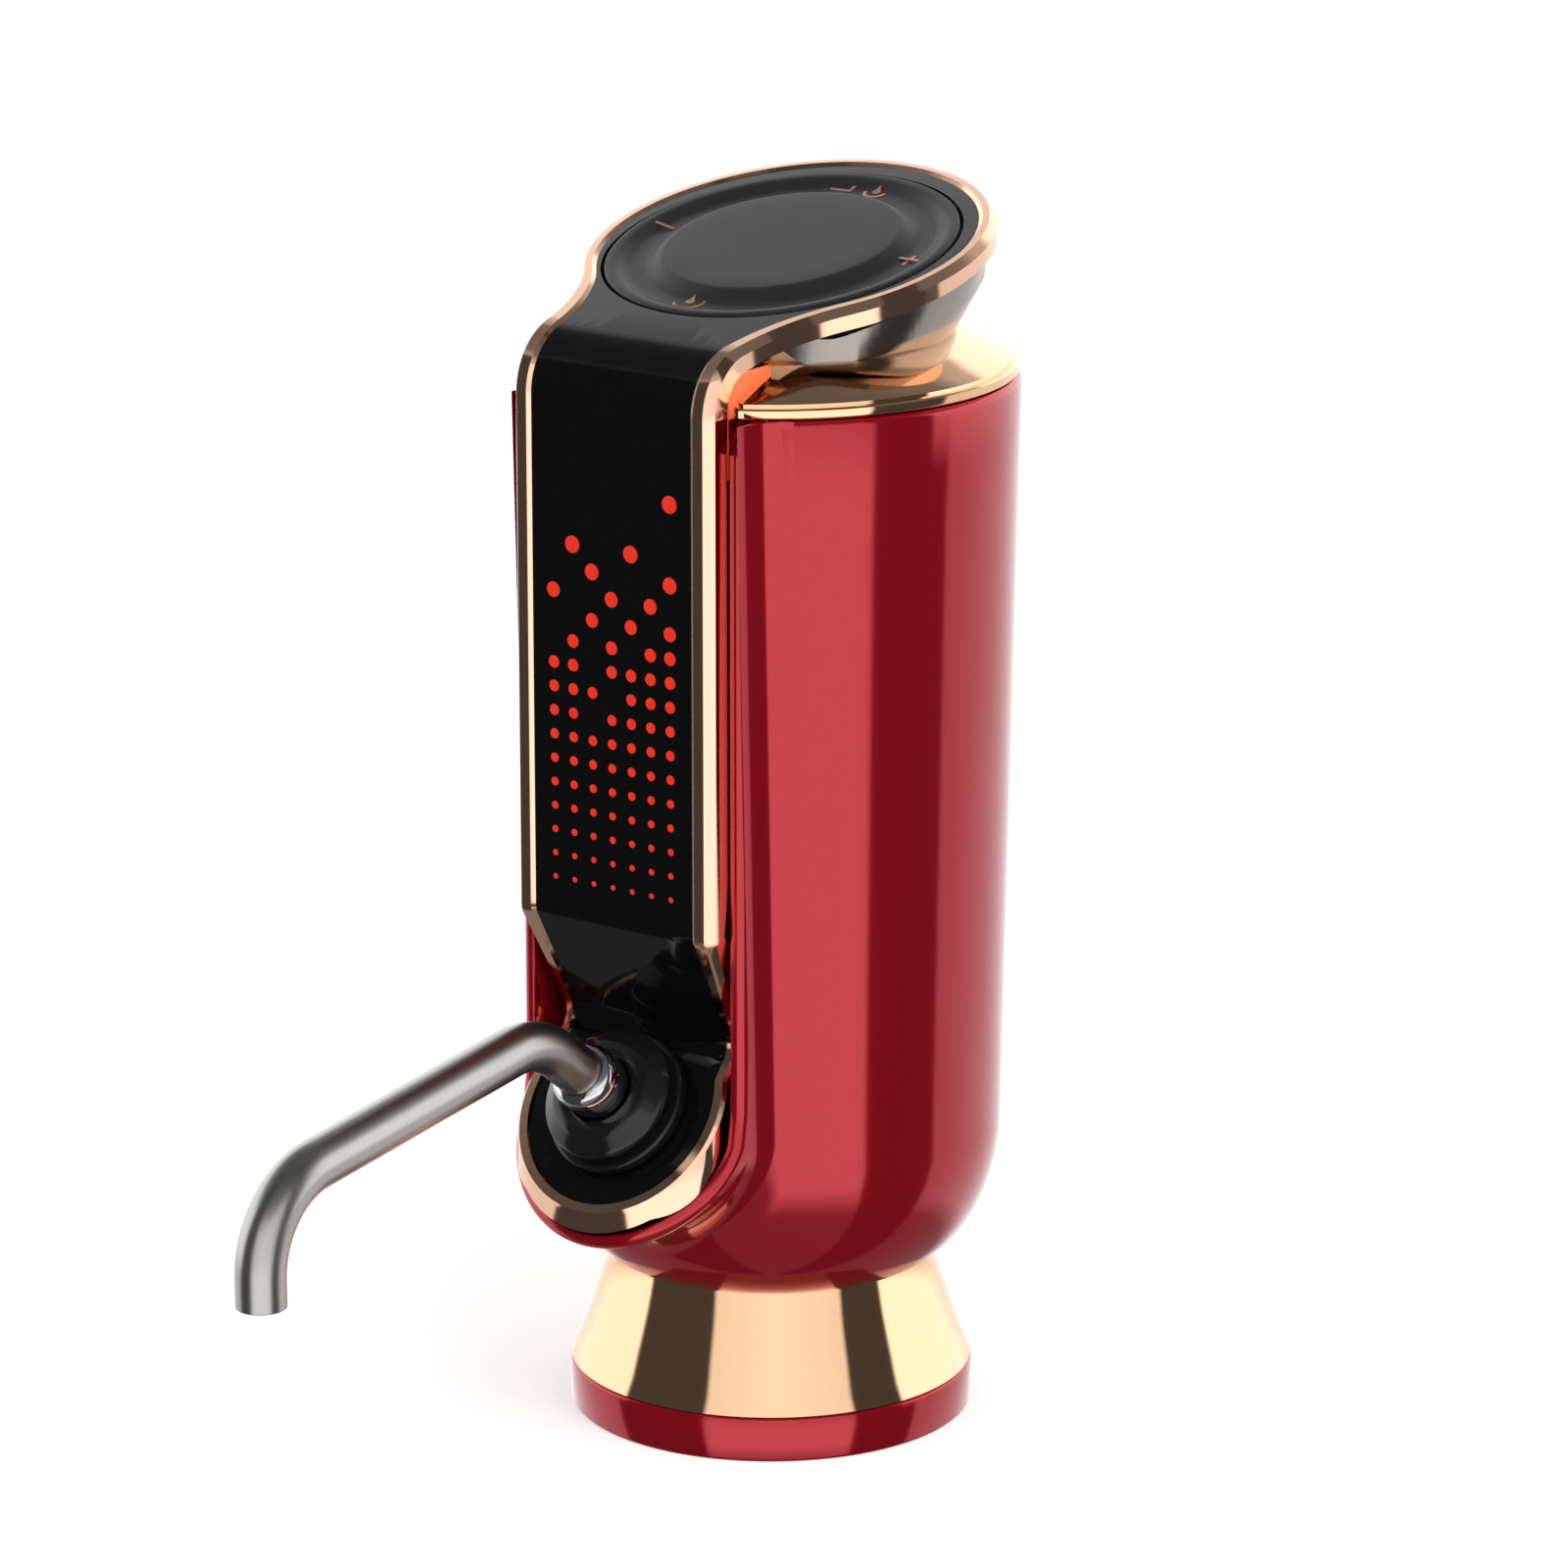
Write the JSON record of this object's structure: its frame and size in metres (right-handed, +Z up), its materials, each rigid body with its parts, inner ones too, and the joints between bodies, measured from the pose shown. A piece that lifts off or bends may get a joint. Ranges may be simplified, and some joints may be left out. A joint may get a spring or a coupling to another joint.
{
  "type": "electric wine aerator",
  "caption": "Battery air-pump aerator that sits on a bottle: round body on a trumpet foot, tilted round control pad, display face, and a swivelling bent spout.",
  "frame": {"origin": "on the body's axis, on the plane that the foot ring stands on; the stopper's flat end lies 0.6 mm above it", "axes": "+Z up along the body's axis; the display and the spout face -Y; +X to the right of someone who faces the display's back"},
  "size_m": [0.0606, 0.1301, 0.1521],
  "materials": {
    "red_lacquer": "gloss red lacquer over a smooth shell",
    "rose_gold": "polished rose gold plating",
    "pale_gold": "polished pale gold plating",
    "mirror": "dark mirror chrome",
    "gloss_black": "piano black gloss",
    "matte_black": "fine matte black moulding",
    "satin_steel": "bead-blasted satin stainless steel",
    "silicone": "translucent food silicone",
    "black_rubber": "soft black rubber",
    "inner_plastic": "moulded black ABS",
    "circuit_board": "solder-masked glass-epoxy board",
    "cell_wrap": "shrink-wrapped cell",
    "plain_steel": "zinc-plated steel",
    "white_plastic": "moulded white plastic"
  },
  "bodies": {
    "housing": {"foot_ring": "red_lacquer", "body_shell": "red_lacquer", "skirt": "pale_gold", "step_ring": "pale_gold", "shoulder_ring": "pale_gold", "neck_cone": "mirror", "trim_frame": "rose_gold", "display_panel": "gloss_black", "recess_panel": "gloss_black", "spout_plate": "gloss_black", "display_carrier": "inner_plastic", "light_diffuser": "white_plastic", "led_board": "circuit_board", "pad_yoke": "inner_plastic", "button_board": "circuit_board", "switch_plus": "plain_steel", "switch_minus": "plain_steel", "switch_front": "plain_steel", "switch_back": "plain_steel", "boss_flange": "matte_black", "boss_nut": "gloss_black", "nozzle_socket": "inner_plastic", "spout_seal_ring": "black_rubber", "bottle_socket": "inner_plastic", "stopper": "silicone", "wine_pipe": "satin_steel", "air_pipe": "satin_steel", "bottle_seal": "black_rubber", "chassis": "inner_plastic", "chassis_screw_1": "plain_steel", "chassis_screw_2": "plain_steel", "chassis_screw_3": "plain_steel", "battery": "cell_wrap", "main_board": "circuit_board", "charge_board": "circuit_board", "charging_socket": "plain_steel", "pump_head": "white_plastic", "pump_diaphragm": "black_rubber", "pump_housing": "white_plastic", "motor_can": "plain_steel", "motor_end_cap": "inner_plastic", "aeration_chamber": "inner_plastic", "check_valve_body": "white_plastic", "wine_hose": "silicone", "air_hose": "silicone"},
    "spout": {"spout_tube": "satin_steel", "spout_collar": "mirror"},
    "pad_ring": {"pad_gimbal": "white_plastic"},
    "pad": {"control_pad": "matte_black"},
    "rotor": {"pump_rotor": "plain_steel"},
    "poppet": {"check_valve_poppet": "black_rubber"}
  },
  "joints": [
    {"name": "spout_swivel", "type": "hinge", "parent": "housing", "child": "spout", "pos_m": [0, -0.0304, 0.0456], "axis": [0, -0.788, 0.6157], "range_deg": [-90, 90]},
    {"name": "pad_fore_aft", "type": "hinge", "parent": "housing", "child": "pad_ring", "pos_m": [0, 0.00441, 0.1365], "axis": [1, 0, 0], "range_deg": [-1.5, 1.5], "stiffness_Nm_per_rad": 0.05},
    {"name": "pad_side_to_side", "type": "hinge", "parent": "pad_ring", "child": "pad", "pos_m": [0, 0.00441, 0.1365], "axis": [0, 0.9732, 0.23], "range_deg": [-1.5, 1.5], "stiffness_Nm_per_rad": 0.05},
    {"name": "rotor_spin", "type": "hinge", "parent": "housing", "child": "rotor", "pos_m": [0, -0.0104, 0.08], "axis": [0, 0, 1], "continuous": true},
    {"name": "poppet_slide", "type": "slide", "parent": "housing", "child": "poppet", "axis": [0, 0, -1], "range_m": [0, 0.0008], "stiffness_N_per_m": 2, "springref_m": -0.001}
  ]
}
